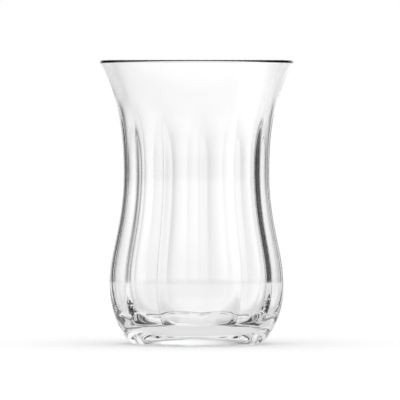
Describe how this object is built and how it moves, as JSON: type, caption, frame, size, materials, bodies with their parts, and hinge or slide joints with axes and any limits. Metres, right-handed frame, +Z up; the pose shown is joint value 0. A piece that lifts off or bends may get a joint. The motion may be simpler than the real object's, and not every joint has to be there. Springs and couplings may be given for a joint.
{
  "type": "turkish tea glass",
  "caption": "Small waisted tea glass of clear glass with a flared round lip, a full belly, a thick flat base and soft flutes inside the wall; holds a hot drink.",
  "frame": {"origin": "on the glass's axis, in the plane that its foot ring stands on", "axes": "+Z up along the axis to the lip; the glass is round, and -Y is the side that was modelled as the front"},
  "size_m": [0.062, 0.062, 0.091],
  "materials": {
    "clear_glass": "clear, smooth and fire polished"
  },
  "bodies": {
    "root": {"glass": "clear_glass"}
  },
  "joints": []
}
